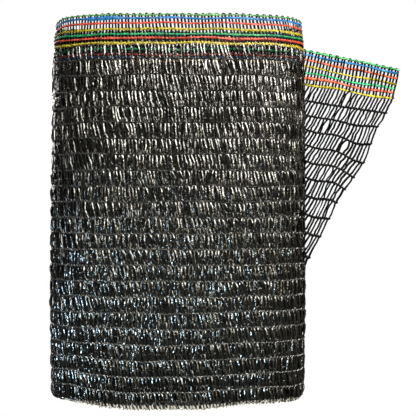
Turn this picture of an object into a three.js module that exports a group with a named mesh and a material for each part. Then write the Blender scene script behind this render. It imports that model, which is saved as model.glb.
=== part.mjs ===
// Roll of shade cloth: a black knitted net, folded in four along its length, wound flat and stood on
// end. One layer leaves the back of the roll and stands out to the right with a slanting cut end.
// Millimetres, +Z up, the front of the roll faces -Y, and the roll rests on its folded lower end.
import * as THREE from 'three';
import { LoftGeometry } from 'three/addons/geometries/LoftGeometry.js';

// The net
const NET_WIDTH = 1200;
const LAYERS = 4;
const SHEET_THICKNESS = 1.6;
const GAP = 0.3;

// The wound roll
const ROLL_HEIGHT = NET_WIDTH / LAYERS;
const HALF_WIDTH = 102;
const HALF_THICKNESS = 44;
const OUTLINE_POWER = 2.7;
const STATIONS = 72;
const STEP_STATION = STATIONS / 4 + 1;
const STEP = SHEET_THICKNESS + GAP;

// How far the wall stands from the middle of the roll, to the left, to the right and as a share of
// the thickness
const WALL = [
  { z: 0, left: 99.9, right: 101.2, thickness: 0.985 },
  { z: 22, left: 100.4, right: 101.9, thickness: 0.993 },
  { z: 50, left: 100.9, right: 102.4, thickness: 1 },
  { z: 87, left: 101.2, right: 102.8, thickness: 1 },
  { z: 150, left: 100.6, right: 102.6, thickness: 0.995 },
  { z: 192, left: 100, right: 102.6, thickness: 0.99 },
  { z: 235, left: 99.9, right: 102.4, thickness: 0.985 },
  { z: 262, left: 99.5, right: 102, thickness: 0.98 },
  { z: 284, left: 98.4, right: 101.7, thickness: 0.974 },
  { z: 300, left: 96.6, right: 99.9, thickness: 0.966 },
];
const WALL_HEIGHTS = [22, 50, 87, 125, 160, 192, 235, 262, 284, 297];

// The wall is a little uneven: waves round the outline that drift with the height
const WAVES = [
  { count: 3, depth: 0.5, drift: 1 / 90, phase: 0 },
  { count: 5, depth: 0.5, drift: -1 / 120, phase: 1 },
];

// The lower edge is turned under, and the outermost fold rides up by a few millimetres at the two
// ends of the front. Degrees run from the right end over the back to the left end and the front.
const RIM_REACH = 4.5;
const RIM_HEIGHT = 5;
const RIM_STEPS = 3;
const RIM_LIFT = [
  { degrees: 0, lift: 5 },
  { degrees: 45, lift: 3 },
  { degrees: 90, lift: 1 },
  { degrees: 135, lift: 3 },
  { degrees: 180, lift: 5 },
  { degrees: 200, lift: 5.5 },
  { degrees: 222, lift: 7 },
  { degrees: 238, lift: 3.5 },
  { degrees: 256, lift: 0 },
  { degrees: 276, lift: 0 },
  { degrees: 290, lift: 3.5 },
  { degrees: 305, lift: 5 },
  { degrees: 330, lift: 4.5 },
  { degrees: 360, lift: 5 },
];

// The upper end: the outermost turn stands above the turns inside it, whose folded edges make a
// soft spiral of ridges
const LIP = 3.2;
const LIP_ROUNDING = 1.2;
const TURNS_TOP = 288;
const TURNS_DIP = 4;
const DIP_TURN = 0.75 * Math.PI;
const RIDGE_PITCH = 9.8;
const RIDGE_HEIGHT = 1.7;
const RIDGE_SAMPLES = 4.5;
const SPINE_HALF_LENGTH = 58;
const SPINE_HALF_WIDTH = 2;
const SPINE_END = 0.05;

// The loose end lies on the back of the roll for a few stations and then stands free. Its run is the
// distance along the cloth from the middle of the roll's back, its heading is in degrees.
const BACK_COLUMNS = 6;
const FREE_COLUMNS = 14;
const FIRST_HEADING = -7;
const LAST_HEADING = -18;
const LOOSE_ROWS = 16;
const RIPPLE = 1.1;
const RIPPLE_LENGTH = 64;
const TOP_EDGE = [
  { run: -20, z: 300 },
  { run: 10, z: 300 },
  { run: 40, z: 297.5 },
  { run: 75, z: 291.5 },
  { run: 106, z: 284 },
  { run: 128, z: 276.8 },
  { run: 156, z: 268.6 },
  { run: 182.5, z: 264.4 },
];
const CUT_EDGE = [
  { z: 4.5, run: 56 },
  { z: 60, run: 80 },
  { z: 111, run: 106.6 },
  { z: 130.4, run: 117.6 },
  { z: 168.7, run: 138.2 },
  { z: 192.6, run: 152.6 },
  { z: 218.8, run: 164.9 },
  { z: 242, run: 177.1 },
  { z: 264.4, run: 182.5 },
];
const LOWER_EDGE = 4.5;

const netMaterial = new THREE.MeshStandardMaterial({ color: 0x15171a, roughness: 0.38, metalness: 0 });
const looseMaterial = new THREE.MeshStandardMaterial({ color: 0x1d2024, roughness: 0.34, metalness: 0 });

// The value in one column of a table, straight between its rows.
function readTable(table, along, column, at) {
  const next = table.findIndex((row) => row[along] >= at);
  if (next === 0) return table[0][column];
  if (next < 0) return table[table.length - 1][column];
  const before = table[next - 1];
  const after = table[next];
  const share = (at - before[along]) / (after[along] - before[along]);
  return THREE.MathUtils.lerp(before[column], after[column], share);
}

// A signed power, which turns a circle into the flattened outline.
function flatten(value) {
  return Math.sign(value) * Math.abs(value) ** (2 / OUTLINE_POWER);
}

// The direction straight out of the outline at an angle.
function outward(angle) {
  const steep = 2 - 2 / OUTLINE_POWER;
  const across = Math.sign(Math.cos(angle)) * Math.abs(Math.cos(angle)) ** steep / HALF_WIDTH;
  const deep = Math.sign(Math.sin(angle)) * Math.abs(Math.sin(angle)) ** steep / HALF_THICKNESS;
  return new THREE.Vector2(across, deep).normalize();
}

// A point on the wall of the roll, moved out of the wall by a distance.
function wallPoint(angle, z, out) {
  const side = Math.cos(angle) > 0 ? 'right' : 'left';
  const halfWidth = readTable(WALL, 'z', side, z);
  const halfThickness = HALF_THICKNESS * readTable(WALL, 'z', 'thickness', z);
  const wave = ({ count, depth, drift, phase }) => depth * Math.sin(count * angle + drift * z + phase);
  const away = WAVES.reduce((sum, row) => sum + wave(row), out);
  const normal = outward(angle);
  const x = halfWidth * flatten(Math.cos(angle)) + away * normal.x;
  const y = halfThickness * flatten(Math.sin(angle)) + away * normal.y;
  return new THREE.Vector3(x, y, z);
}

// The stations run once round the outline. The last one lies a step inside the first, as each turn
// of a spiral does, so the ring closes with the step under the loose end.
function station(index) {
  const angle = ((index + STEP_STATION) / STATIONS) * 2 * Math.PI;
  const share = index / STATIONS;
  return { angle, share, out: -STEP * share };
}

// One closed section of the roll: heightAt gives the height at a station, inset the distance inside
// the wall.
function wallSection(inset, heightAt) {
  const points = [];
  for (let index = 0; index <= STATIONS; index++) {
    const { angle, out } = station(index);
    points.push(wallPoint(angle, heightAt(angle), out - inset));
  }
  return points;
}

function liftAt(angle) {
  const degrees = THREE.MathUtils.radToDeg(angle) % 360;
  return readTable(RIM_LIFT, 'degrees', 'lift', degrees);
}

// The lower edge, a quarter round from the flat base up to the wall.
function rimSections() {
  const sections = [];
  for (let step = 0; step <= RIM_STEPS; step++) {
    const turn = (step / RIM_STEPS) * (Math.PI / 2);
    const inset = RIM_REACH * (1 - Math.sin(turn));
    sections.push(wallSection(inset, (angle) => (RIM_HEIGHT + liftAt(angle)) * (1 - Math.cos(turn))));
  }
  return sections;
}

function lipSections() {
  return [
    wallSection(0, () => ROLL_HEIGHT - LIP_ROUNDING),
    wallSection(LIP_ROUNDING, () => ROLL_HEIGHT),
    wallSection(LIP - LIP_ROUNDING, () => ROLL_HEIGHT),
    wallSection(LIP, () => ROLL_HEIGHT - LIP_ROUNDING),
  ];
}

// The folded edges of the inner turns, from the lip in to the slot at the middle.
function turnsSections() {
  const sections = [];
  const depth = HALF_THICKNESS - LIP - SPINE_HALF_WIDTH;
  const rings = Math.round((depth / RIDGE_PITCH) * RIDGE_SAMPLES);
  for (let ring = 0; ring <= rings; ring++) {
    const inward = ring / rings;
    const points = wallSection(LIP, () => TURNS_TOP);
    points.forEach((point, index) => {
      const { angle, share } = station(index);
      const straight = THREE.MathUtils.clamp(point.x, -SPINE_HALF_LENGTH, SPINE_HALF_LENGTH);
      const spineX = straight + SPINE_END * (point.x - straight);
      const spineY = SPINE_HALF_WIDTH * flatten(Math.sin(angle));
      const spine = new THREE.Vector3(spineX, spineY, TURNS_TOP);
      point.lerp(spine, inward);
      const ridge = Math.cos(2 * Math.PI * ((inward * depth) / RIDGE_PITCH + share));
      const dip = Math.sin(inward * DIP_TURN);
      point.z -= TURNS_DIP * dip + RIDGE_HEIGHT * (1 - ridge) / 2;
    });
    sections.push(points);
  }
  return sections;
}

function woundRoll() {
  const sections = [
    ...rimSections(),
    ...WALL_HEIGHTS.map((z) => wallSection(0, () => z)),
    ...lipSections(),
    ...turnsSections(),
  ];
  const geometry = new LoftGeometry(sections, { capStart: true, capEnd: true });
  const mesh = new THREE.Mesh(geometry, netMaterial);
  mesh.name = 'wound_roll';
  return mesh;
}

// The stations on the back that the loose end lies on, with the run at each, at mid height.
function backStations() {
  const rows = [];
  for (let column = 0; column <= BACK_COLUMNS; column++) {
    const { angle, out } = station(STATIONS - column);
    const point = wallPoint(angle, ROLL_HEIGHT / 2, 0);
    const last = rows[column - 1];
    const run = last ? last.run + point.distanceTo(last.point) : point.x;
    rows.push({ run, angle, out, point });
  }
  return rows;
}

const BACK = backStations();
const LEAVING_RUN = BACK[BACK_COLUMNS].run;
const LONGEST = CUT_EDGE[CUT_EDGE.length - 1];

// The direction of the free cloth in plan.
function freeDirection(run) {
  const share = (run - LEAVING_RUN) / (LONGEST.run - LEAVING_RUN);
  const heading = THREE.MathUtils.degToRad(THREE.MathUtils.lerp(FIRST_HEADING, LAST_HEADING, share));
  return new THREE.Vector3(Math.cos(heading), Math.sin(heading), 0);
}

// A point on the cloth that stands free, followed in short straight pieces from the line on which
// it leaves the roll.
function freePoint(run, z, out) {
  const leaving = BACK[BACK_COLUMNS];
  const point = wallPoint(leaving.angle, z, leaving.out + GAP);
  const length = run - leaving.run;
  for (let piece = 0; piece < FREE_COLUMNS; piece++) {
    const middle = leaving.run + (length * (piece + 0.5)) / FREE_COLUMNS;
    point.addScaledVector(freeDirection(middle), length / FREE_COLUMNS);
  }
  const direction = freeDirection(run);
  const normal = new THREE.Vector3(-direction.y, direction.x, 0);
  const freedom = Math.min(1, length / RIPPLE_LENGTH);
  const ripple = RIPPLE * freedom * Math.sin((2 * Math.PI * (z + run / 2)) / RIPPLE_LENGTH);
  return point.addScaledVector(normal, out + ripple);
}

// One slice of the sheet, up its outer face and down its inner face.
function sheetSection(top, runAt, pointAt) {
  const outer = [];
  const inner = [];
  for (let row = 0; row <= LOOSE_ROWS; row++) {
    const up = row / LOOSE_ROWS;
    const z = THREE.MathUtils.lerp(LOWER_EDGE, top, up);
    const run = runAt(up);
    outer.push(pointAt(run, z, SHEET_THICKNESS));
    inner.unshift(pointAt(run, z, 0));
  }
  return [...outer, ...inner];
}

// The slices are upright on the back of the roll and lean over more and more towards the cut.
function looseEnd() {
  const sections = [];
  BACK.forEach(({ run, angle, out }, column) => {
    const clear = column === 0 ? GAP : 0;
    const top = readTable(TOP_EDGE, 'run', 'z', run);
    const onBack = (_, z, away) => {
      const point = wallPoint(angle, z, out + GAP + away);
      point.x += clear;
      return point;
    };
    sections.push(sheetSection(top, () => run, onBack));
  });
  for (let column = 1; column <= FREE_COLUMNS; column++) {
    const share = column / FREE_COLUMNS;
    const top = readTable(TOP_EDGE, 'run', 'z', THREE.MathUtils.lerp(LEAVING_RUN, LONGEST.run, share));
    const slantingRun = (up) => {
      const cutRun = readTable(CUT_EDGE, 'z', 'run', THREE.MathUtils.lerp(LOWER_EDGE, LONGEST.z, up));
      return THREE.MathUtils.lerp(LEAVING_RUN, cutRun, share);
    };
    sections.push(sheetSection(top, slantingRun, freePoint));
  }
  const geometry = new LoftGeometry(sections, { capStart: true, capEnd: true });
  const mesh = new THREE.Mesh(geometry, looseMaterial);
  mesh.name = 'loose_end';
  return mesh;
}

// The origin is on the surface that the roll stands on, under the middle of the whole.
const roll = new THREE.Group();
roll.name = 'roll_of_shade_cloth';
roll.add(woundRoll(), looseEnd());
const box = new THREE.Box3().setFromObject(roll, true);
roll.position.x = -(box.min.x + box.max.x) / 2;
roll.position.y = -(box.min.y + box.max.y) / 2;

export default roll;
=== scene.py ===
# Looks of the roll of shade cloth: every yarn of the knitted net that shows is modelled. A flat
# repeat of the knitting is built in millimetres, along the cloth (u), up it (v) and out of it (w).
# It is arrayed to a flat net, made uneven, and then laid on the path on which the cloth is wound.
import math
from collections import namedtuple

import bmesh
import bpy
import numpy as np
from mathutils import Matrix, Vector

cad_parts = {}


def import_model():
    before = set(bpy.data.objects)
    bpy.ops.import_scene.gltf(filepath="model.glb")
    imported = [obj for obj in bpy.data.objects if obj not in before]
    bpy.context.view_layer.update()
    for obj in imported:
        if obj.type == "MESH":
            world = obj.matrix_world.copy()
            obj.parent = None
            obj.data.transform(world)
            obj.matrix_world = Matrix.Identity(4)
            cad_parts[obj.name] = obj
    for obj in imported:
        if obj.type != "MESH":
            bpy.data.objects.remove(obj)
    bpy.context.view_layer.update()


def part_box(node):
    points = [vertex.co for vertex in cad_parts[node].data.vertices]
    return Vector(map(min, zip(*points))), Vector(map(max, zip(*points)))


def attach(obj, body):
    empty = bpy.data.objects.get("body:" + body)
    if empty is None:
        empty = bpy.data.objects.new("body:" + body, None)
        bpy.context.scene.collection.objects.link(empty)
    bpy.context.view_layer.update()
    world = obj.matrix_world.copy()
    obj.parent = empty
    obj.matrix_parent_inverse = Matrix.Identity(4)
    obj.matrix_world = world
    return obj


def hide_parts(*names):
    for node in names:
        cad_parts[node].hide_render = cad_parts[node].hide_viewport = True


MM = 0.001
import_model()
roll_low, roll_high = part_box("wound_roll")

# The wound roll, in millimetres. The middle of the winding lies a little left of its box's middle.
LOPSIDED = 0.84
MIDDLE_X = (roll_low.x + roll_high.x) / 2 / MM - LOPSIDED
HALF_WIDTH = 102.0
HALF_THICKNESS = 44.0
OUTLINE_POWER = 2.7
SPINE_HALF_LENGTH = 58.0
SPINE_DEPTH = 43.0

# Waves round the outline: how many, their size and their phase
WAVES = ((3, 0.5, 1.67), (5, 0.5, -0.25))

# The winding: how deep each turn lies below the next one out, and the points of its path
TURNS = 12.6
OUTER_STEP = 1.9
OUTER_STEP_TURNS = 1.15
TURN_PITCH = 3.26
WOUND_POINTS = 9000
BACK_POINTS = 400
FREE_POINTS = 120
POINTS_BETWEEN_STARTS = 700

# How the outline changes with the height: left, right and thickness as shares
WALL_Z = (0, 22, 50, 87, 150, 192, 235, 262, 284, 300)
WALL_LEFT = (0.979, 0.984, 0.989, 0.992, 0.986, 0.980, 0.979, 0.975, 0.965, 0.947)
WALL_RIGHT = (0.992, 0.999, 1.004, 1.008, 1.006, 1.006, 1.004, 1.000, 0.997, 0.979)
WALL_THICK = (0.985, 0.993, 1.000, 1.000, 0.995, 0.990, 0.985, 0.980, 0.974, 0.966)

# How far the outermost fold rides up off the ground, by the direction from the middle of the roll
LIFT_DEGREES = (0, 45, 90, 135, 180, 200, 222, 238, 256, 276, 290, 305, 330, 360)
LIFT = (5, 3, 1, 3, 5, 5.5, 7, 3.5, 0, 0, 3.5, 5, 4.5, 5)
LIFT_FADES_OVER = 40
LIFT_LOSS = 3
LOWEST_HEIGHT = 0.05

# The knitting
STROKE_PITCH = 2.7
PERIOD = 2 * STROKE_PITCH
CHAIN_SPACING = 12.0
CHAIN_COUNT = 23
LOWEST_CHAIN = 2.0
TOP_CHAIN = LOWEST_CHAIN + CHAIN_SPACING * (CHAIN_COUNT - 1)
OUTER_TURN = 497.0
SPARE_PERIODS = 5
FOLD_RADIUS = 4.5
MIDDLE_HEIGHT = 150.0
LEAN = math.radians(6.5)
SHEET_MIDDLE = 0.8
SHARP_FROM = math.radians(60)
MERGED_WITHIN = 0.01

# The tape. Its levels are shares of the way from chain to chain, and a loop that reaches far over
# its chain is rounded: distance aside and share of the reach
TAPE_HALF_WIDTH = 0.68
LOOSE_HALF_WIDTH = 0.84
EDGE_HALF_WIDTH = 0.82
TAPE_HALF_THICKNESS = 0.26
STROKE_LEVELS = (0.05, 0.25, 0.5, 0.75, 0.95)
SECOND_LEVELS = (0.08, 0.5, 0.92)
EDGE_LEVELS = (0.03, 0.2, 0.5, 0.8, 0.97)
STROKE_BULGE = 0.75
EDGE_BULGE = -0.1
RIDGE_BULGE = 0.15
LOWER_BULGE = 0.1
LOOP_OUT = 0.1
END_LEAN = 0.16
LOOP_REACH = 0.25
EDGE_LOOP_REACH = 0.7
ROUNDED_ABOVE = 0.5
ROUND_LOOP = ((-0.65, 0.7), (0, 1), (0.65, 0.7))

# The chains and cords: how much a stitch swells at its knot, narrows at its waist and is flattened
CHAIN_SIDES = 4
KNOT = 1.15
CHAIN_WAIST = 0.62
FLATNESS = 0.8
SWAY_OUT = 0.4
CORD_SWAY = 0.08
CORD_REACH = 1

# The chains of each layer
OUTER_CHAIN = {"thickness": 0.44, "sway": 0.42, "out": 0.4}
LOOSE_CHAIN = {"thickness": 0.74, "sway": 0.4, "out": 0.1}
SECOND_CHAIN = {"thickness": 0.34, "sway": 0.3, "out": 0.4}

# The cords of the selvedge, from the lowest up: colour, height, distance out, half thickness and waist
SELVEDGE = (
    ("yellow", 278.0, -0.05, 1.05, 0.72),
    ("red", 281.8, 0.08, 0.78, 0.7),
    ("green", 284.8, 0.08, 0.76, 0.68),
    ("yellow", 288.5, -0.15, 1.1, 0.7),
    ("red", 293.1, 0.05, 0.86, 0.68),
    ("blue", 296.8, 0.10, 0.86, 0.80),
    ("light_green", 299.4, 0.15, 0.72, 0.55),
)
# The loose end turns its inner side to the front, where its cords lie in front of the tape
# Its cords take brighter copies of the cord colours: painted light
LOOSE_SELVEDGE = tuple(("loose_" + colour, v, 0.25, 0.92, 0.6) for colour, v, _, _, _ in SELVEDGE)
# The second layer's cords, and those between the folds, take darker copies of the cord colours: painted
# shade
INNER_SELVEDGE = (
    ("shaded_yellow", 265.0, 1.2, 0.65, 0.6),
    ("shaded_blue", 267.3, 1.2, 0.65, 0.6),
    ("shaded_red", 269.4, 1.2, 0.75, 0.6),
    ("shaded_green", 273.7, 1.2, 0.75, 0.6),
)
VALLEY_CORDS = (
    ("shaded_green", 282.6, 0.0, 0.45, 0.7),
    ("shaded_red", 281.0, 0.6, 0.45, 0.8),
)

# The stretch on which the blue cord is thicker and stands out
THICK_CORD = 296.8
THICK_RUNS = (-223.0, -189.0)
THICK_EASE = 6
THICK_REACH = 1.2
THICK_GROWTH = 0.75
THICK_OUT = 0.25

# The selvedge droops at the left end of the roll: from a height on, and from a distance left on
LEFT_DROOP = 1.8
DROOP_HEIGHT = 282
DROOP_HEIGHT_EASE = 16
DROOP_SIDE = 90
DROOP_SIDE_EASE = 11

# The layer just inside the outermost turn
LAYER_STEP = 2.4
SECOND_TOP = 285.0
SECOND_TOP_EASE = 20
SECOND_LOWEST_CHAIN = LOWEST_CHAIN + 5
SECOND_LEAN = math.radians(5)

# The folds of the inner turns. Reach is how far the cloth goes down, or up, on both sides of a fold.
TURNS_TOP = 287.0
TURNS_DIP = 4.0
DIP_WAVE = 0.75
TURNS_WAVE = 0.8
TURNS_WAVE_RUN = 37
RIDGE_RADIUS = 0.9
RIDGE_INSET = 3.0
RIDGE_REACH = 8.0
RIDGE_LEVELS = (0.04, 0.36, 0.5, 0.64, 0.96)
LOWER_REACH = 5.0
LOWER_LEVELS = (0.05, 0.35, 0.65, 0.95)
LOWER_RISE = 0.3
LOWER_WAVE_RUN = 53
LIFT_REACHES_IN = 34
FOLD_SLANT = 0.3
VALLEY_OUT = 1.5
FIRST_FOLD = 3

# The mass behind the layers that show: height and depth inside the wall
CORE_SIDES = 128
CORE_PROFILE = (
    (4, 30), (3, 12), (8, 5.2), (60, 4.8), (120, 4.8), (180, 4.8), (240, 4.8), (268, 4.8),
    (276, 5.5), (279, 8), (277, 16), (275, 26), (274, 38),
)

# The loose end: its run is the distance along the cloth from the middle of the roll's back
STEP_RUN = -16.7
LEAVING_RUN = 54.5
CUT_COURSE = 142.6
LONGEST_RUN = 182.5
SPARE_RUN = 6
FIRST_HEADING = math.radians(-7)
LAST_HEADING = math.radians(-18)
SHEARED_PAST = 20
DROOP_START = 15.0
DROOP_EASE = 0.35
FURTHEST_DROOP = 1.05
RIPPLE = 1.1
RIPPLE_LENGTH = 64

# Where each line of the net ends on the slanting cut: height, run and how late the line droops
LOOSE_V = (2, 26, 50, 74, 98, 122, 146, 158, 170, 206, 230, 254, 266, 278, 288.5, 299)
LOOSE_CUT_Z = (5, 11.5, 22, 37, 55, 77, 99, 114, 130.4, 168.5, 192.4, 218.3, 230, 241.4, 253.7, 264.2)
LOOSE_BEND = (1, 1, 1, 1, 1, 1, 0.95, 0.9, 0.9, 1.15, 1.1, 0.86, 0.8, 0.92, 1.1, 1.28)
CUT_Z = (4.5, 60, 111, 130.4, 168.7, 192.6, 218.8, 242, 264.4)
CUT_RUN = (56, 80, 106.6, 117.6, 138.2, 152.6, 164.9, 177.1, 182.5)

# Slow drifts of the lines of the net: size, seed, and how much finer they are along and up the cloth
ALONG_DRIFT = (0.7, 5)
UP_DRIFT = (0.5, 6)
CORD_DRIFT = (0.4, 8, 2.2, 4)
LOOSE_DRIFT = (1.6, 9, 3.2, 1.3)
RIDGE_DRIFT = (0.9, 31)
SECOND_ALONG_DRIFT = (1.2, 81)
SECOND_UP_DRIFT = (1.0, 82)
DRIFT_WAVES = 4
DRIFT_LENGTHS_ALONG = (60, 160)
DRIFT_LENGTHS_UP = (50, 130)
DRIFT_PHASES = (0, 6.28)

# The heights at which the drifts start and end, and the heights over which they ease. The loose
# end has its own, which grows faster towards the cut.
FOLD_EASE = 30
LINES_END = 292
LINES_END_EASE = 20
CORDS_START = 270
CORDS_START_EASE = 8
CORDS_END = 301
CORDS_END_EASE = 3
LOOSE_DRIFT_END = 270
LOOSE_DRIFT_END_EASE = 30
LOOSE_DRIFT_GAIN = 2

# How uneven the strokes of a layer are, in millimetres and degrees
PLAIN_NET = {"wander": 0.3, "bow": 0.42, "depth": 0.32, "twist": 30, "swing": 18}
LOOSE_NET = {"wander": 0.15, "bow": 0.36, "depth": 0.2, "twist": 20, "swing": 6}
SECOND_NET = {"wander": 0.5, "bow": 0.6, "depth": 0.35, "twist": 40, "swing": 18}
EDGE_ROW = {"wander": 0.16, "bow": 0.2, "depth": 0.1, "twist": 12, "swing": 4}
CORD_ROW = {"wander": 0.12, "bow": 0, "depth": 0.14, "twist": 0, "swing": 0}
UPPER_FOLDS = {"wander": 0.4, "bow": 0.3, "depth": 0.15, "twist": 15, "swing": 8}
LOWER_FOLDS = {"wander": 0.4, "bow": 0.3, "depth": 0.1, "twist": 10, "swing": 8}

# Strokes lie in bunches. These are shares of the sizes above for a whole bunch and for one stroke.
BUNCH = 6
BUNCH_WANDER = 1.6
BUNCH_SWAY = 1.1
BUNCH_SWING = 0.7
BUNCH_TILT = 2.2
STROKE_SWAY = 0.3
STROKE_TILT = 2.4
CRINKLE = 0.6
CRINKLES = 4
HELD_BY_CHAIN = 0.05

# Which tape takes a duller copy, a painted shade that darkens the lower rows: all of it low down, none
# high up
# On the rim it takes a smoother copy, whose stronger gloss is a painted highlight
LOWER_PIECE_ROWS = 15
ALL_SHADED_BELOW = 95.0
NONE_SHADED_ABOVE = 235.0
RIM_TOP = 6.0
SHADE_SEED = 17
SHADE_COLUMNS = 400
SHADE_LEVELS = 40
SHADE_SLANT = 0.7
FREE_FROM = 100.0

# The black yarns: name, colour, roughness, gloss, depth of creases in metres and their fineness
BLACK_YARNS = (
    ("black_tape", (0.0012, 0.0012, 0.0009), 0.17, 0.76, 0.00046, 1.15),
    # A duller copy for the lower rows: painted shade
    ("black_tape_painted_shade_low", (0.0012, 0.0012, 0.0009), 0.1, 0.56, 0.00033, 1.2),
    # A copy for the rim with smoother creases and a stronger gloss, which is a painted highlight
    ("black_tape_of_rim_painted_highlight", (0.0012, 0.0012, 0.0009), 0.16, 1.0, 0.0001, 1.0),
    # A darker, duller copy for the layers and folds further in and for the chains high up: painted shade
    ("black_tape_inside_painted_shade", (0.0008, 0.0008, 0.0006), 0.16, 0.45, 0.0003, 1.0),
    # A copy with a lighter colour for the upper folds, so they read lit from above: painted light
    ("black_tape_of_folds_painted_light", (0.011, 0.011, 0.01), 0.32, 0.9, 0.0003, 1.0),
    # A copy with a lighter colour for the chains, so their lines read light grey: painted light
    ("black_chain_yarn_painted_light", (0.009, 0.0095, 0.0085), 0.22, 0.95, 0.0005, 1.5),
    # A dull copy for the mass behind the layers, dark as the shaded layers deep in the roll: painted shade
    ("black_depths_painted_shade", (0.001, 0.001, 0.0011), 0.6, 0.15, 0.0003, 1.0),
    # A dull copy for the loose end clear of the roll and for the selvedge rows, to keep them black:
    # painted shade
    ("black_tape_of_loose_end", (0.0008, 0.0008, 0.0007), 0.4, 0.04, 0.0003, 1.0),
)
CORD_COLOURS = {
    "yellow": (0.24, 0.195, 0.009),
    "red": (0.33, 0.04, 0.022),
    "green": (0.006, 0.17, 0.062),
    "light_green": (0.045, 0.17, 0.045),
    "blue": (0.008, 0.09, 0.25),
    # Darker copies of the cord colours for cords further in: painted shade
    "shaded_red": (0.14, 0.02, 0.014),
    "shaded_green": (0.006, 0.11, 0.045),
    "shaded_blue": (0.006, 0.03, 0.10),
    "shaded_yellow": (0.09, 0.05, 0.01),
    # Brighter copies of the cord colours for the loose end: painted light
    "loose_yellow": (0.36, 0.31, 0.015),
    "loose_red": (0.62, 0.11, 0.05),
    "loose_green": (0.02, 0.34, 0.14),
    "loose_light_green": (0.06, 0.36, 0.12),
    "loose_blue": (0.02, 0.2, 0.5),
}
CORD_FINISH = {"roughness": 0.38, "gloss": 0.25, "patch": 420, "darkest": 0.25}
STREAK_SCALE = (4200, 4200, 260)
STREAK_STRENGTH = 0.22
STREAK_DEPTH = 0.00004
CREASE_SCALE = (900, 900, 520)
CREASE_STRENGTH = 0.8

# How a yarn varies: where in the noise it is darkest and brightest, and the shares of its brightness
# and roughness that it then has
DARK_AT = 0.3
BRIGHT_AT = 0.75
BRIGHTEST = 1.35
SMOOTHEST = 0.75
ROUGHEST = 1.3

# The camera, in millimetres from the middle of the winding, and its lens in pixels of the photo
CAMERA_ASIDE = 24.6
CAMERA_BACK = 777
CAMERA_HEIGHT = 153.5
FOCAL_PIXELS = 977
PHOTO_PIXELS = 416
SENSOR_WIDTH = 36

# The lights, in metres: name, place, what it faces, width and height, watts, colour, spread in degrees
MIDDLE = (MIDDLE_X * MM, 0, 0.15)
LOWER_MIDDLE = (MIDDLE_X * MM, 0, 0.1)
LIGHTS = (
    ("window", (0.6, -1.12, 0.78), MIDDLE, (1.25, 0.66), 74, (1, 0.965, 0.87), 180),
    ("low_window", (0.45, -1.15, 0.17), LOWER_MIDDLE, (0.6, 0.14), 4, (1, 0.92, 0.66), 180),
    ("room", (0.5, -1.45, 1.05), MIDDLE, (2.4, 1.4), 11, (1, 0.97, 0.82), 180),
    ("right_fill", (1.3, -0.1, 0.5), MIDDLE, (0.5, 0.9), 3, (1, 0.95, 0.8), 180),
    ("cool_low", (-0.6, -0.56, 0.07), (-0.12, 0, 0.02), (0.5, 0.14), 0.6, (0.64, 0.86, 1), 20),
    ("left_fill", (-1.1, -0.45, 0.5), MIDDLE, (0.5, 0.9), 1.3, (1, 0.97, 0.9), 180),
    ("back_window", (-0.6, 1.12, 0.55), MIDDLE, (1.0, 0.6), 26, (1, 0.97, 0.93), 180),
    ("back_room", (-0.2, 1.45, 0.9), MIDDLE, (2.4, 1.5), 16, (1, 0.97, 0.93), 180),
    ("ceiling", (0, 0.1, 1.7), MIDDLE, (2.2, 2.2), 60, (1, 0.99, 0.97), 180),
)

# The surroundings. Gloss that meets the floor very near it shows a cream bounce, as the rim has.
WORLD_STRENGTH = 0.012
FLOOR_HALF_SIZE = 6
FLOOR_COLOUR = (0.025, 0.025, 0.024, 1)
FLOOR_ROUGHNESS = 0.8
BOUNCE_COLOUR = (1, 0.93, 0.8, 1)
BOUNCE_STRENGTH = 8
BOUNCE_REACH = 0.009

# How a net is laid, the run that it starts from, and its periods along the cloth
Net = namedtuple("Net", "lay start periods")


def smoothstep(value):
    """Eases from 0 to 1."""
    x = np.clip(value, 0, 1)
    return x * x * (3 - 2 * x)


def flatten(value):
    """A signed power, which turns a circle into the flattened outline."""
    return np.sign(value) * np.abs(value) ** (2 / OUTLINE_POWER)


def flatten_back(value):
    """The reverse of flatten."""
    return np.sign(value) * np.abs(value) ** (OUTLINE_POWER / 2)


def outline(angle, depth):
    """Points and outward directions at mid height, at a depth inside the wall."""
    steep = 2 - 2 / OUTLINE_POWER
    cosine, sine = np.cos(angle), np.sin(angle)
    across = np.sign(cosine) * np.abs(cosine) ** steep / HALF_WIDTH
    deep = np.sign(sine) * np.abs(sine) ** steep / HALF_THICKNESS
    length = np.hypot(across, deep)
    out = np.stack([across / length, deep / length], axis=1)
    bulge = sum(size * np.sin(count * angle + phase) for count, size, phase in WAVES)
    wall = np.stack([HALF_WIDTH * flatten(cosine), HALF_THICKNESS * flatten(sine)], axis=1)
    wall += out * bulge[:, None]
    spine = np.stack([np.clip(wall[:, 0], -SPINE_HALF_LENGTH, SPINE_HALF_LENGTH), 0 * angle], axis=1)
    inward = (depth / SPINE_DEPTH)[:, None]
    return wall + (spine - wall) * inward, out


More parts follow.
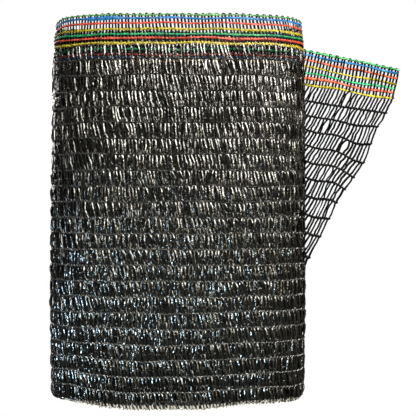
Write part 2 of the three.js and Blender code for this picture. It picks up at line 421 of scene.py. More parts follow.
def wound_path():
    """The plan of the cloth by its run, from deep in the roll to the tip of the loose end."""
    angle = np.linspace(2 * math.pi * TURNS, 0, WOUND_POINTS) + math.pi / 2
    gone = (angle - math.pi / 2) / (2 * math.pi)
    depth = OUTER_STEP * np.minimum(gone, OUTER_STEP_TURNS)
    depth += TURN_PITCH * np.maximum(gone - OUTER_STEP_TURNS, 0)
    points, out = outline(angle, depth)
    back = np.linspace(math.pi / 2, math.pi / 4, BACK_POINTS)[1:]
    back_points, back_out = outline(back, -OUTER_STEP * (math.pi / 2 - back) / (2 * math.pi))
    points = np.concatenate([points, back_points])
    out = np.concatenate([out, back_out])
    run = np.concatenate([[0], np.cumsum(np.hypot(*np.diff(points, axis=0).T))])
    run -= run[len(angle) - 1]
    kept = run <= LEAVING_RUN
    run, points, out = run[kept], points[kept], out[kept]
    free = np.linspace(LEAVING_RUN, LONGEST_RUN + SPARE_RUN, FREE_POINTS)[1:]
    turned = (LAST_HEADING - FIRST_HEADING) * (free - LEAVING_RUN)
    heading = FIRST_HEADING + turned / (LONGEST_RUN - LEAVING_RUN)
    along = np.stack([np.cos(heading), np.sin(heading)], axis=1)
    free_points = points[-1] + np.cumsum(along * np.diff(free, prepend=LEAVING_RUN)[:, None], axis=0)
    free_out = np.stack([-along[:, 1], along[:, 0]], axis=1)
    run = np.concatenate([run, free])
    points = np.concatenate([points, free_points])
    out = np.concatenate([out, free_out])
    return {"run": run, "x": points[:, 0], "y": points[:, 1], "out_x": out[:, 0], "out_y": out[:, 1]}


PATH = wound_path()
# The run at about every turn of the winding, from its inner end
TURN_STARTS = PATH["run"][0:WOUND_POINTS:POINTS_BETWEEN_STARTS]


def on_path(run, name):
    return np.interp(run, PATH["run"], PATH[name])


def wall_side(x, z):
    """How far the outline reaches to the left or right at a height, as a share."""
    return np.where(x > 0, np.interp(z, WALL_Z, WALL_RIGHT), np.interp(z, WALL_Z, WALL_LEFT))


def place(run, z, out):
    """Points in metres, in the frame, from runs, heights and distances out of the path."""
    held = np.minimum(run, LEAVING_RUN)
    held_x, held_y = on_path(held, "x"), on_path(held, "y")
    thickness = np.interp(z, WALL_Z, WALL_THICK)
    x = on_path(run, "x") + held_x * (wall_side(held_x, z) - 1) + out * on_path(run, "out_x")
    y = on_path(run, "y") + held_y * (thickness - 1) + out * on_path(run, "out_y")
    return np.stack([x + MIDDLE_X, y, z], axis=1) * MM


def lift_at(run):
    """How far the outermost fold rides up at a run."""
    deep = flatten_back(on_path(run, "y") / HALF_THICKNESS)
    across = flatten_back(on_path(run, "x") / HALF_WIDTH)
    return np.interp(np.degrees(np.arctan2(deep, across)) % 360, LIFT_DEGREES, LIFT)


# Flat repeats of the knitting


def new_object(name, data):
    piece = bpy.data.objects.new(name, data)
    bpy.context.scene.collection.objects.link(piece)
    return piece


def extruded(shape, ring):
    """Extrudes a ring of edges. Gives the new ring and its points."""
    made = bmesh.ops.extrude_edge_only(shape, edges=ring)["geom"]
    ring = [part for part in made if isinstance(part, bmesh.types.BMEdge) and part.is_boundary]
    return ring, [part for part in made if isinstance(part, bmesh.types.BMVert)]


def as_mesh(shape, mesh):
    """Turns the faces of a shape outward and puts it in a mesh. The shape is then gone."""
    bmesh.ops.recalc_face_normals(shape, faces=shape.faces)
    shape.to_mesh(mesh)
    shape.free()
    return mesh


def swept(points, half_width, half_thickness, sides=4, swell=(1,)):
    """A yarn of a few sides along a path of (u, v, w) points, as a mesh. Its section swells in turn."""
    shape = bmesh.new()
    bmesh.ops.create_circle(shape, segments=sides, radius=1)
    ring = shape.edges[:]
    verts = shape.verts[:]
    path = [Vector(point) for point in points]
    before = Matrix.Identity(4)
    for index, point in enumerate(path):
        ahead = path[min(index + 1, len(path) - 1)] - path[max(index - 1, 0)]
        ahead.normalize()
        side = ahead.cross(Vector((0, 0, 1))).normalized()
        up = side.cross(ahead)
        fat = swell[index % len(swell)]
        station = Matrix((side * half_width * fat, up * half_thickness * fat, ahead)).transposed().to_4x4()
        station = Matrix.Translation(point) @ station
        if index:
            ring, verts = extruded(shape, ring)
        bmesh.ops.transform(shape, matrix=station @ before.inverted(), verts=verts)
        before = station
    return as_mesh(shape, bpy.data.meshes.new("yarn"))


def repeated(cell, along, pitch, rows=1, spacing=0.0):
    """Copies a cell along the cloth, joined end to end, and up it. Open ends are closed."""
    piece = new_object("cells", cell)
    for count, offset, joined in ((along, (pitch, 0, 0), True), (rows, (0, spacing, 0), False)):
        if count == 1:
            continue
        array = piece.modifiers.new("repeat", "ARRAY")
        array.count = count
        array.use_relative_offset = False
        array.use_constant_offset = True
        array.constant_offset_displace = offset
        array.use_merge_vertices = joined
        array.merge_threshold = MERGED_WITHIN
    mesh = bpy.data.meshes.new_from_object(piece.evaluated_get(bpy.context.evaluated_depsgraph_get()))
    bpy.data.objects.remove(piece)
    shape = bmesh.new()
    shape.from_mesh(mesh)
    bmesh.ops.holes_fill(shape, edges=[edge for edge in shape.edges if edge.is_boundary], sides=8)
    return as_mesh(shape, mesh)


def inlay_cell(low, high, levels, turn=0.0, bulge=STROKE_BULGE, over=LOOP_REACH, width=TAPE_HALF_WIDTH):
    """One period of the inlaid tape: a stroke up, a turn over the chain, a stroke down and a turn."""
    rising = []
    for level in levels:
        aside = END_LEAN * STROKE_PITCH * (2 * level - 1) ** 5
        out = turn + bulge * (1 - (2 * level - 1) ** 4)
        rising.append((aside, low + (high - low) * level, out))
    falling = [(STROKE_PITCH - u, v, w) for u, v, w in reversed(rising)]
    quarter = STROKE_PITCH / 2
    loop = ROUND_LOOP if over > ROUNDED_ABOVE else ((0, 1),)
    tops = [(quarter + aside, high + over * share, turn) for aside, share in loop]
    start = (-quarter, low - LOOP_REACH, turn)
    end = (PERIOD - quarter, low - LOOP_REACH, turn)
    return swept([start, *rising, *tops, *falling, end], width, TAPE_HALF_THICKNESS)


def chain_cell(v, thickness, out, sides, sway, waist=CHAIN_WAIST):
    """One stitch of a chain: a cord that swells at its knot and sways up and down."""
    half = STROKE_PITCH / 2
    knot = (half, v + sway, out + sway * SWAY_OUT)
    points = [(0, v - sway, out), knot, (STROKE_PITCH, v - sway, out)]
    return swept(points, thickness, thickness * FLATNESS, sides, swell=(waist, KNOT))


# Unevenness of the knitting


def unevenness(seed, strokes, rows, wander, bow, depth, twist, swing):
    """Random sizes for each stroke of each row, in millimetres and degrees."""
    random = np.random.default_rng(seed)
    courses = strokes + 4
    nodes = (courses, rows + 3)
    slow = random.normal(size=(strokes // BUNCH + 3, rows + 3))
    place_of = np.arange(courses) / BUNCH
    low = np.floor(place_of).astype(int)
    share = smoothstep(place_of - low)[:, None]
    bunch = slow[low] * (1 - share) + slow[low + 1] * share
    to_and_fro = np.where(np.arange(courses) % 2, swing, -swing)[:, None]
    swings = to_and_fro * (1 + BUNCH_SWING * np.roll(bunch, 9, axis=0))
    bunch_sway = np.roll(bunch, 3, axis=0) * wander * BUNCH_SWAY
    bunch_tilt = np.roll(bunch, 5, axis=0) * depth * BUNCH_TILT
    return {
        "crinkle": random.normal(size=(*nodes, CRINKLES + 1)) * bow * CRINKLE,
        "wander": random.normal(size=nodes) * wander + bunch * wander * BUNCH_WANDER,
        "sway": bunch_sway + random.normal(size=nodes) * wander * STROKE_SWAY,
        "bow": random.normal(size=nodes) * bow,
        "depth": random.normal(size=nodes) * depth,
        "tilt": random.normal(size=nodes) * depth * STROKE_TILT + bunch_tilt,
        "twist": np.radians(random.normal(size=nodes) * twist + swings),
    }


def make_uneven(flat, uneven, low, spacing):
    """Moves flat points as the yarns of a real net lie. Rows are counted up from low."""
    u, v, w = flat.T
    rows = uneven["wander"].shape[1] - 2
    level = np.clip((v - low) / spacing, 0, rows)
    row = np.minimum(level.astype(int), rows - 1)
    share = level - row
    course = u / STROKE_PITCH + 1
    last = uneven["wander"].shape[0] - 2
    stroke = np.clip(np.round(course).astype(int), 0, last)
    before = np.clip(np.floor(course).astype(int), 0, last)
    between = np.clip(course - before, 0, 1)

    def on_lines(name):
        table = uneven[name]
        left = table[before, row] * (1 - share) + table[before, row + 1] * share
        right = table[before + 1, row] * (1 - share) + table[before + 1, row + 1] * share
        return left * (1 - between) + right * between

    middle = 4 * share * (1 - share)
    loose = middle > HELD_BY_CHAIN
    twist = uneven["twist"][stroke, row] * middle
    centre = (stroke - 1) * STROKE_PITCH
    aside = u - centre
    new_u = np.where(loose, centre + aside * np.cos(twist) - w * np.sin(twist), u)
    new_w = np.where(loose, aside * np.sin(twist) + w * np.cos(twist), w)
    new_u += on_lines("wander") + uneven["bow"][stroke, row] * middle
    station = np.clip(np.round(share * CRINKLES).astype(int), 0, CRINKLES)
    crinkle = uneven["crinkle"]
    new_u += crinkle[stroke, row, station] * middle
    new_w += (uneven["depth"][stroke, row] + crinkle[stroke, row, CRINKLES - station]) * middle
    new_w += uneven["tilt"][stroke, row] * (share - 0.5) * middle
    return np.stack([new_u, v + on_lines("sway"), new_w], axis=1)


# Laying the flat net on the winding


def drifting(u, v, size, seed, finer_along=1, finer_up=1):
    """A slow, smooth drift of the lines of the net."""
    random = np.random.default_rng(seed)
    total = 0
    for _ in range(DRIFT_WAVES):
        across = random.uniform(*DRIFT_LENGTHS_ALONG)
        up = random.uniform(*DRIFT_LENGTHS_UP)
        phase = random.uniform(*DRIFT_PHASES)
        total = total + np.sin(2 * math.pi * (u * finer_along / across + v * finer_up / up) + phase)
    return size * total / 2


def line_drift(u, v):
    """The drift of the lines up and down, which is eased out towards the fold and the selvedge."""
    away_from_edges = smoothstep(v / FOLD_EASE) * smoothstep((LINES_END - v) / LINES_END_EASE)
    return drifting(u, v, *UP_DRIFT) * away_from_edges


def cord_waves(u, v):
    """The cords of the selvedge wander up and down."""
    above_start = smoothstep((v - CORDS_START) / CORDS_START_EASE)
    below_end = smoothstep((CORDS_END - v) / CORDS_END_EASE)
    return above_start * below_end * drifting(u, v, *CORD_DRIFT)


def thick_stretch(u, from_thick):
    """How far a point has the thickness of the blue cord's thick stretch, from 0 to 1."""
    first, last = THICK_RUNS
    along = smoothstep((u - first) / THICK_EASE) * smoothstep((last - u) / THICK_EASE)
    return along * (np.abs(from_thick) < THICK_REACH)


def lay_outer(flat):
    """The outermost turn: leaning strokes, lines that follow the lifted fold, and the fold itself."""
    u, v, w = flat.T
    from_thick = v - THICK_CORD
    thick = thick_stretch(u, from_thick)
    v = v + from_thick * thick * THICK_GROWTH
    w = w + THICK_OUT * thick
    run = u + math.tan(LEAN) * (v - MIDDLE_HEIGHT) + drifting(u, v, *ALONG_DRIFT)
    lift = lift_at(run)
    z = v + lift * np.exp(-np.maximum(v, 0) / LIFT_FADES_OVER) + line_drift(u, v) + cord_waves(u, v)
    below = FOLD_RADIUS - (z - lift)
    bend = np.clip(below / FOLD_RADIUS, 0, math.pi)
    past = np.maximum(below - math.pi * FOLD_RADIUS, 0)
    folded = lift + FOLD_RADIUS - (FOLD_RADIUS + w) * np.sin(bend) + past
    z = np.where(bend > 0, np.maximum(folded, LOWEST_HEIGHT), z)
    at_left = smoothstep((-on_path(run, "x") - DROOP_SIDE) / DROOP_SIDE_EASE)
    z = z - LEFT_DROOP * smoothstep((v - DROOP_HEIGHT) / DROOP_HEIGHT_EASE) * at_left
    out = np.where(bend > 0, (FOLD_RADIUS + w) * np.cos(bend) - FOLD_RADIUS, w)
    return place(run, z, out - SHEET_MIDDLE)


def lay_loose(flat):
    """The loose end: the lean and the droop grow towards the slanting cut."""
    u, v, w = flat.T
    cut_z = np.interp(v, LOOSE_V, LOOSE_CUT_Z) + np.maximum(v - LOOSE_V[-1], 0)
    cut_run = np.interp(cut_z, CUT_Z, CUT_RUN)
    rolled = math.tan(LEAN) * (v - MIDDLE_HEIGHT) + drifting(u, v, *ALONG_DRIFT)
    sheared_at = LEAVING_RUN + SHEARED_PAST - (cut_run - CUT_COURSE)
    free = smoothstep((u - STEP_RUN) / (sheared_at - STEP_RUN))
    run = u + rolled * (1 - free) + (cut_run - CUT_COURSE) * free
    toward = np.clip((run - DROOP_START) / (cut_run - DROOP_START), 0, FURTHEST_DROOP)
    drop = toward ** np.interp(v, LOOSE_V, LOOSE_BEND) * smoothstep(toward / DROOP_EASE)
    lifted = lift_at(run) * np.exp(-np.maximum(v, 0) / LIFT_FADES_OVER)
    lifted = lifted * (1 - smoothstep(toward * LIFT_LOSS))
    z = v + (cut_z - v) * drop + lifted + line_drift(u, v) + cord_waves(u, v)
    below_cords = smoothstep((LOOSE_DRIFT_END - v) / LOOSE_DRIFT_END_EASE)
    z += drifting(u, v, *LOOSE_DRIFT) * smoothstep(toward * LOOSE_DRIFT_GAIN) * below_cords
    ripple = RIPPLE * smoothstep((run - LEAVING_RUN) / RIPPLE_LENGTH)
    ripple = ripple * np.sin(2 * math.pi * (z + run / 2) / RIPPLE_LENGTH)
    return place(run, z, w - SHEET_MIDDLE + ripple)


def lay_second(flat):
    """The layer just inside the outermost one."""
    u, v, w = flat.T
    run = u + math.tan(SECOND_LEAN) * (v - MIDDLE_HEIGHT) + drifting(u, v, *SECOND_ALONG_DRIFT)
    z = v + drifting(u, v, *SECOND_UP_DRIFT) * smoothstep((SECOND_TOP - v) / SECOND_TOP_EASE)
    return place(run, np.minimum(z, SECOND_TOP), w - SHEET_MIDDLE - LAYER_STEP)


def turn_number(u):
    """How many turns lie between the inner end and a run."""
    return np.interp(u, TURN_STARTS, range(len(TURN_STARTS)))


def ridge_height(u):
    """The height of the folds along the winding: it dips towards the middle, and each turn differs."""
    share = 1 - turn_number(u) / (len(TURN_STARTS) - 1)
    dip = TURNS_DIP * np.sin(math.pi * DIP_WAVE * share)
    wave = TURNS_WAVE * np.sin(u / TURNS_WAVE_RUN)
    return TURNS_TOP - dip + drifting(u, 0 * u, *RIDGE_DRIFT) + wave


def over_fold(v):
    """How far the cloth has bent over a small fold, and how far it has gone straight past it."""
    bend = np.clip(v / RIDGE_RADIUS, -math.pi / 2, math.pi / 2)
    return bend, np.maximum(np.abs(v) - RIDGE_RADIUS * math.pi / 2, 0)


def lay_ridges(flat):
    """The upper folds of the inner turns: v runs from outside the fold, over it, to inside."""
    u, v, w = flat.T
    bend, past = over_fold(v)
    z = ridge_height(u) - RIDGE_RADIUS + (RIDGE_RADIUS + w) * np.cos(bend) - past
    return place(u + v * FOLD_SLANT, z, -RIDGE_INSET - (RIDGE_RADIUS + w) * np.sin(bend))


def lay_lower_folds(flat):
    """The lower folds of the inner turns, on which the roll stands."""
    u, v, w = flat.T
    bend, past = over_fold(v)
    depth = TURN_PITCH * (len(TURN_STARTS) - 1 - turn_number(u)) + RIDGE_INSET
    under = lift_at(u) * np.clip(1 - depth / LIFT_REACHES_IN, 0, 1)
    rise = under + LOWER_RISE + LOWER_RISE * np.sin(u / LOWER_WAVE_RUN)
    z = rise + RIDGE_RADIUS - (RIDGE_RADIUS + w) * np.cos(bend) + past
    out = -RIDGE_INSET + (RIDGE_RADIUS + w) * np.sin(bend)
    return place(u + v * FOLD_SLANT, np.maximum(z, LOWEST_HEIGHT), out)


def lay_valley(flat):
    """A cord that shows between the upper folds."""
    u, v, w = flat.T
    return place(u, v + ridge_height(u) - TURNS_TOP, w - RIDGE_INSET + VALLEY_OUT)


# Materials


def add_node(nodes, kind, **values):
    """A shader node with values on its inputs. Spaces in an input's name are written as underscores."""
    made = nodes.new(kind)
    for name, value in values.items():
        made.inputs[name.replace("_", " ")].default_value = value
    return made


def with_nodes(holder):
    """Gives a material or world its nodes and links."""
    holder.use_nodes = True
    return holder.node_tree.nodes, holder.node_tree.links


def yarn_material(name, colour, roughness, gloss, crease=0.0003, fineness=1.0, patch=55, darkest=0.7):
    """Drawn polyethylene tape: glossy, with fine lengthwise streaks, creases and uneven colour."""
    material = bpy.data.materials.new(name)
    nodes, links = with_nodes(material)
    shader = nodes["Principled BSDF"]
    shader.inputs["Specular IOR Level"].default_value = gloss
    where = nodes.new("ShaderNodeTexCoord")
    stretch = add_node(nodes, "ShaderNodeMapping", Scale=STREAK_SCALE)
    streaks = add_node(nodes, "ShaderNodeTexNoise", Scale=1.0, Detail=3)
    patches = add_node(nodes, "ShaderNodeTexNoise", Scale=patch, Detail=4)
    tint = nodes.new("ShaderNodeValToRGB")
    dark, bright = tint.color_ramp.elements
    dark.position = DARK_AT
    bright.position = BRIGHT_AT
    dark.color = (*[part * darkest for part in colour], 1)
    bright.color = (*[min(1, part * BRIGHTEST) for part in colour], 1)
    least, most = roughness * SMOOTHEST, roughness * ROUGHEST
    rough = add_node(nodes, "ShaderNodeMapRange", To_Min=least, To_Max=most)
    crease_scale = [size * fineness for size in CREASE_SCALE]
    crease_stretch = add_node(nodes, "ShaderNodeMapping", Scale=crease_scale)
    creases = add_node(nodes, "ShaderNodeTexNoise", Scale=1.0, Detail=1)
    crumple = add_node(nodes, "ShaderNodeBump", Strength=CREASE_STRENGTH, Distance=crease)
    bump = add_node(nodes, "ShaderNodeBump", Strength=STREAK_STRENGTH, Distance=STREAK_DEPTH)
    for source, output, target, entry in (
        (where, "Object", stretch, "Vector"),
        (stretch, "Vector", streaks, "Vector"),
        (where, "Object", patches, "Vector"),
        (patches, "Fac", tint, "Fac"),
        (tint, "Color", shader, "Base Color"),
        (streaks, "Fac", rough, "Value"),
        (rough, "Result", shader, "Roughness"),
        (where, "Object", crease_stretch, "Vector"),
        (crease_stretch, "Vector", creases, "Vector"),
        (creases, "Fac", crumple, "Height"),
        (crumple, "Normal", bump, "Normal"),
        (streaks, "Fac", bump, "Height"),
        (bump, "Normal", shader, "Normal"),
    ):
        links.new(source.outputs[output], target.inputs[entry])
    return material


BLACKS = [yarn_material(*row) for row in BLACK_YARNS]
BLACK, LOW_SHADED_BLACK, RIM_HIGHLIGHT_BLACK, INNER_SHADED_BLACK, FOLD_LIT_BLACK, CHAIN_LIT_BLACK, DEPTHS_SHADED_BLACK, DULL_SHADED_BLACK = BLACKS
CORD_MATERIALS = {
    name: yarn_material(name + "_cord", colour, **CORD_FINISH) for name, colour in CORD_COLOURS.items()
}


def finished(piece, material):
    """Makes a piece ride on the body and gives it one material."""
    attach(piece, "root")
    piece.data.materials.clear()
    piece.data.materials.append(material)
    return piece


def choose_materials(piece, materials, choice):
    """Gives each face of a piece the material that choice picks from its x, y and z in millimetres."""
    mesh = piece.data
    mesh.materials.clear()
    for material in materials:
        mesh.materials.append(material)
    centres = np.empty(len(mesh.polygons) * 3)
    mesh.polygons.foreach_get("center", centres)
    mesh.polygons.foreach_set("material_index", choice(*centres.reshape(-1, 3).T / MM).astype(np.int32))
    mesh.update()


def free_of_roll(x, y, z):
    """The part of the loose end that stands clear of the roll takes a dull copy of the tape: painted shade
    that keeps it black.
    """
    return x > MIDDLE_X + FREE_FROM


def shaded_low_down(x, y, z):
    """Stroke by stroke, a duller copy low down as painted shade, and on the rim a glossier copy as painted
    highlight.
    """
    random = np.random.default_rng(SHADE_SEED).random((SHADE_COLUMNS, SHADE_LEVELS))
    column = np.floor((x + SHADE_SLANT * y) / STROKE_PITCH).astype(int) % SHADE_COLUMNS
    row = np.floor((z - LOWEST_CHAIN) / CHAIN_SPACING).astype(int) % SHADE_LEVELS
    # True where a stroke keeps the plain copy; elsewhere it takes the duller copy, a painted shade
    smooth = random[column, row] < smoothstep((z - ALL_SHADED_BELOW) / (NONE_SHADED_ABOVE - ALL_SHADED_BELOW))
    return np.where(z < RIM_TOP, 2, smooth)


# The pieces


def laid(name, mesh, net, uneven, low, spacing):
    """Makes a flat mesh uneven, lays it on the winding, and makes it an object."""
    flat = np.empty(len(mesh.vertices) * 3)
    mesh.vertices.foreach_get("co", flat)
    flat = make_uneven(flat.reshape(-1, 3), uneven, low, spacing) + np.array([net.start, 0, 0])
    mesh.vertices.foreach_set("co", net.lay(flat).ravel())
    mesh.flip_normals()
    mesh.update()
    mesh.shade_smooth()
    mesh.set_sharp_from_angle(angle=SHARP_FROM)
    return new_object(name, mesh)


def inlay(name, net, low, rows, made, seed, kind, material, levels=STROKE_LEVELS, width=TAPE_HALF_WIDTH):
    """The rows of tape between the chains, from the height low up. Made says from which row to which."""
    bottom = low + made[0] * CHAIN_SPACING
    cell = inlay_cell(bottom, bottom + CHAIN_SPACING, levels, width=width)
    mesh = repeated(cell, net.periods, PERIOD, made[1] - made[0], CHAIN_SPACING)
    uneven = unevenness(seed, 2 * net.periods, rows, **kind)
    return finished(laid(name, mesh, net, uneven, low, CHAIN_SPACING), material)


def chains(name, net, low, rows, seed, kind, material, thickness, sway, out, cut_off=0):
    """The chains of black loops that bind the tape."""
    cell = chain_cell(low, thickness, out, CHAIN_SIDES, sway)
    mesh = repeated(cell, 2 * net.periods - cut_off, STROKE_PITCH, rows, CHAIN_SPACING)
    uneven = unevenness(seed, 2 * net.periods, rows, **kind)
    return finished(laid(name, mesh, net, uneven, low, CHAIN_SPACING), material)


def selvedge_inlay(name, net, seed):
    """The tall row of tape behind the coloured cords, whose loops reach over the top cord."""
    low, high = TOP_CHAIN + CHAIN_SPACING, SELVEDGE[-1][1]
    cell = inlay_cell(low, high, EDGE_LEVELS, LOOP_OUT, EDGE_BULGE, EDGE_LOOP_REACH, EDGE_HALF_WIDTH)
    mesh = repeated(cell, net.periods, PERIOD)
    uneven = unevenness(seed, 2 * net.periods, 1, **EDGE_ROW)
    # The row takes the dull copy of the tape: painted shade
    return finished(laid(name, mesh, net, uneven, low, high - low), DULL_SHADED_BLACK)


def cords(name, net, table, seed, sides=5, cut_off=0):
    """Coloured cords along the cloth, each at its own height."""
    made = []
    for index, (colour, v, out, thickness, waist) in enumerate(table):
        cell = chain_cell(v, thickness, out, sides, CORD_SWAY, waist)
        mesh = repeated(cell, 2 * net.periods - cut_off, STROKE_PITCH)
        uneven = unevenness(seed + index, 2 * net.periods, 1, **CORD_ROW)
        full_name = f"{name}_{colour.removeprefix('loose_')}_cord_{index + 1}"
        piece = laid(full_name, mesh, net, uneven, v - CORD_REACH, 2 * CORD_REACH)
        made.append(finished(piece, CORD_MATERIALS[colour]))
    return made


def folds(name, net, reach, levels, bulge, seed, kind, material):
    """The tape that lies over the folds of the inner turns."""
    cell = inlay_cell(-reach, reach, levels, LOOP_OUT, bulge)
    uneven = unevenness(seed, 2 * net.periods, 1, **kind)
    piece = laid(name, repeated(cell, net.periods, PERIOD), net, uneven, -reach, 2 * reach)
    return finished(piece, material)


def core():
    """The mass of the roll behind the layers that show, as a tube whose rings are then placed."""
    shape = bmesh.new()
    bmesh.ops.create_circle(shape, segments=CORE_SIDES, radius=1, cap_ends=True)
    ring = shape.edges[:]
    for _ in CORE_PROFILE[1:]:
        ring, verts = extruded(shape, ring)
        bmesh.ops.translate(shape, verts=verts, vec=(0, 0, 1))
    bmesh.ops.contextual_create(shape, geom=ring)
    mesh = as_mesh(shape, bpy.data.meshes.new("core"))
    flat = np.empty(len(mesh.vertices) * 3)
    mesh.vertices.foreach_get("co", flat)
    x, y, row = flat.reshape(-1, 3).T
    heights, insets = np.array(CORE_PROFILE).T
    z = np.interp(row, range(len(heights)), heights)
    points, _ = outline(np.arctan2(y, x), np.interp(row, range(len(insets)), insets))
    x = points[:, 0] * wall_side(points[:, 0], z) + MIDDLE_X
    y = points[:, 1] * np.interp(z, WALL_Z, WALL_THICK)
    mesh.vertices.foreach_set("co", (np.stack([x, y, z], axis=1) * MM).ravel())
    mesh.shade_smooth()
    # The mass takes the dull copy: painted shade for the layers deep inside
    return finished(new_object("inner_turns", mesh), DEPTHS_SHADED_BLACK)


# The outermost turn
turn_periods = int(OUTER_TURN / PERIOD) + SPARE_PERIODS
turn_start = STEP_RUN - turn_periods * PERIOD
net = Net(lay_outer, turn_start, turn_periods)
low = LOWEST_CHAIN - CHAIN_SPACING
rows = CHAIN_COUNT + 1
plain = {"seed": 11, "kind": PLAIN_NET}
outer = inlay("outer_turn_inlay", net, low, rows, (0, LOWER_PIECE_ROWS), material=LOW_SHADED_BLACK, **plain)
outer_parts = [
    inlay("outer_turn_inlay_upper", net, low, rows, (LOWER_PIECE_ROWS, rows), material=BLACK, **plain),
    chains("outer_turn_chains", net, low, rows, material=CHAIN_LIT_BLACK, **OUTER_CHAIN, **plain),
    selvedge_inlay("outer_turn_selvedge", net, seed=12),
    *cords("outer_turn", net, SELVEDGE, seed=40),
]
# Low down the outermost tape takes the duller copy, a painted shade, and on the rim the glossier copy, a
# painted highlight
for part in (outer, outer_parts[0]):
    choose_materials(part, (LOW_SHADED_BLACK, BLACK, RIM_HIGHLIGHT_BLACK), shaded_low_down)
# The chains take the lighter copy low down and on the rim, a painted light, and the darker, duller copy
# high up, a painted shade
choose_materials(outer_parts[1], (CHAIN_LIT_BLACK, INNER_SHADED_BLACK, CHAIN_LIT_BLACK), shaded_low_down)

# The loose end
loose_periods = round((CUT_COURSE + STROKE_PITCH - STEP_RUN) / PERIOD)
net = Net(lay_loose, STEP_RUN, loose_periods)
low = LOWEST_CHAIN
rows = CHAIN_COUNT
flap = {"seed": 23, "kind": LOOSE_NET}
loose = inlay(
    "loose_end_inlay", net, low, rows, (0, rows), material=DULL_SHADED_BLACK, width=LOOSE_HALF_WIDTH, **flap
)
loose_parts = [
    chains("loose_end_chains", net, low, rows, material=CHAIN_LIT_BLACK, cut_off=1, **LOOSE_CHAIN, **flap),
    selvedge_inlay("loose_end_selvedge", net, seed=24),
    *cords("loose_end", net, LOOSE_SELVEDGE, seed=50, cut_off=1),
]
# The loose end clear of the roll takes the dull copy of the tape: painted shade
choose_materials(loose, (BLACK, DULL_SHADED_BLACK), free_of_roll)
# The loose chains keep the lighter copy near the roll, a painted light, and clear of it the dull copy, a
# painted shade
choose_materials(loose_parts[0], (CHAIN_LIT_BLACK, DULL_SHADED_BLACK), free_of_roll)

# The second layer and the mass behind it
net = Net(lay_second, turn_start, turn_periods)
low = SECOND_LOWEST_CHAIN
# The second layer and its chains take the darker, duller copy: painted shade
deep = {"seed": 71, "kind": SECOND_NET, "material": INNER_SHADED_BLACK}
second = inlay("second_layer_inlay", net, low, rows, (0, rows), levels=SECOND_LEVELS, **deep)
second_parts = [
    chains("second_layer_chains", net, low, rows, **SECOND_CHAIN, **deep),
    *cords("second_layer", net, INNER_SELVEDGE, seed=75, sides=4),
]
core()

# The folds of the inner turns above and below, and the cords that show between the upper ones
fold_start = PATH["run"][0] + FIRST_FOLD
fold_periods = int((STEP_RUN - fold_start) / PERIOD)
net = Net(lay_ridges, fold_start, fold_periods)
# The upper folds take the lighter copy: painted light
folds("upper_folds", net, RIDGE_REACH, RIDGE_LEVELS, RIDGE_BULGE, 91, UPPER_FOLDS, FOLD_LIT_BLACK)
net = Net(lay_lower_folds, fold_start, fold_periods)
# The lower folds take the darker, duller copy: painted shade
folds("lower_folds", net, LOWER_REACH, LOWER_LEVELS, LOWER_BULGE, 93, LOWER_FOLDS, INNER_SHADED_BLACK)
net = Net(lay_valley, fold_start, fold_periods)
cords("between_folds", net, VALLEY_CORDS, seed=95, sides=3)


# The surroundings


def settings():
    scene = bpy.context.scene
    scene.view_settings.view_transform = "Standard"
    scene.view_settings.look = "None"
    scene.cycles.max_bounces = 8


def world():
    """White where the camera looks past the floor, and dim as a light."""
    made = bpy.data.worlds.new("studio")
    bpy.context.scene.world = made
    nodes, links = with_nodes(made)
    dim = nodes["Background"]
    dim.inputs["Color"].default_value = (1, 1, 1, 1)
    dim.inputs["Strength"].default_value = WORLD_STRENGTH
    seen = add_node(nodes, "ShaderNodeBackground", Color=(1, 1, 1, 1))
    ray = nodes.new("ShaderNodeLightPath")
    mix = nodes.new("ShaderNodeMixShader")
    links.new(ray.outputs["Is Camera Ray"], mix.inputs["Fac"])
    links.new(dim.outputs["Background"], mix.inputs[1])
    links.new(seen.outputs["Background"], mix.inputs[2])
    links.new(mix.outputs["Shader"], nodes["World Output"].inputs["Surface"])


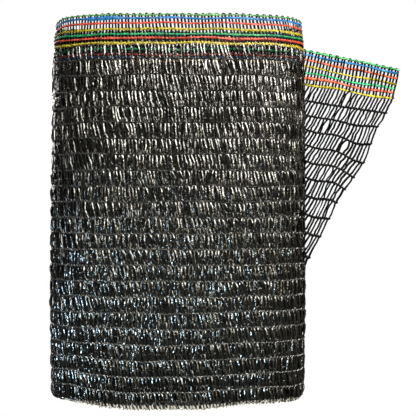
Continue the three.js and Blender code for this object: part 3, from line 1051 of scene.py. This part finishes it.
def floor():
    """White to the camera and dark to the light, with a cream bounce into gloss very near it."""
    shape = bmesh.new()
    bmesh.ops.create_grid(shape, x_segments=1, y_segments=1, size=FLOOR_HALF_SIZE)
    mesh = bpy.data.meshes.new("floor")
    shape.to_mesh(mesh)
    shape.free()
    piece = new_object("floor", mesh)
    material = bpy.data.materials.new("pale_floor")
    nodes, links = with_nodes(material)
    shader = nodes["Principled BSDF"]
    shader.inputs["Base Color"].default_value = FLOOR_COLOUR
    shader.inputs["Roughness"].default_value = FLOOR_ROUGHNESS
    seen = nodes.new("ShaderNodeEmission")
    bounced = add_node(nodes, "ShaderNodeEmission", Color=BOUNCE_COLOUR, Strength=BOUNCE_STRENGTH)
    ray = nodes.new("ShaderNodeLightPath")
    near = nodes.new("ShaderNodeMath")
    near.operation = "LESS_THAN"
    near.inputs[1].default_value = BOUNCE_REACH
    near_gloss = nodes.new("ShaderNodeMath")
    near_gloss.operation = "MULTIPLY"
    under = nodes.new("ShaderNodeMixShader")
    mix = nodes.new("ShaderNodeMixShader")
    for source, output, target, entry in (
        (ray, "Ray Length", near, 0),
        (near, "Value", near_gloss, 0),
        (ray, "Is Glossy Ray", near_gloss, 1),
        (near_gloss, "Value", under, "Fac"),
        (shader, "BSDF", under, 1),
        (bounced, "Emission", under, 2),
        (ray, "Is Camera Ray", mix, "Fac"),
        (under, "Shader", mix, 1),
        (seen, "Emission", mix, 2),
        (mix, "Shader", nodes["Material Output"], "Surface"),
    ):
        links.new(source.outputs[output], target.inputs[entry])
    mesh.materials.append(material)


def light(name, at, towards, size, power, colour, spread):
    data = bpy.data.lights.new(name, "AREA")
    data.shape = "RECTANGLE"
    data.size, data.size_y = size
    data.energy = power
    data.color = colour
    data.spread = math.radians(spread)
    lamp = new_object(name, data)
    lamp.location = at
    lamp.rotation_euler = (Vector(towards) - Vector(at)).to_track_quat("-Z", "Y").to_euler()


def camera():
    data = bpy.data.cameras.new("camera")
    data.sensor_width = SENSOR_WIDTH
    data.lens = SENSOR_WIDTH * FOCAL_PIXELS / PHOTO_PIXELS
    lens = new_object("camera", data)
    lens.location = ((MIDDLE_X + CAMERA_ASIDE) * MM, -CAMERA_BACK * MM, CAMERA_HEIGHT * MM)
    lens.rotation_euler = (math.radians(90), 0, 0)
    bpy.context.scene.camera = lens


settings()
world()
floor()
camera()
for row in LIGHTS:
    light(*row)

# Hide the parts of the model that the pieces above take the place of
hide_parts("wound_roll")
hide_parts("loose_end")
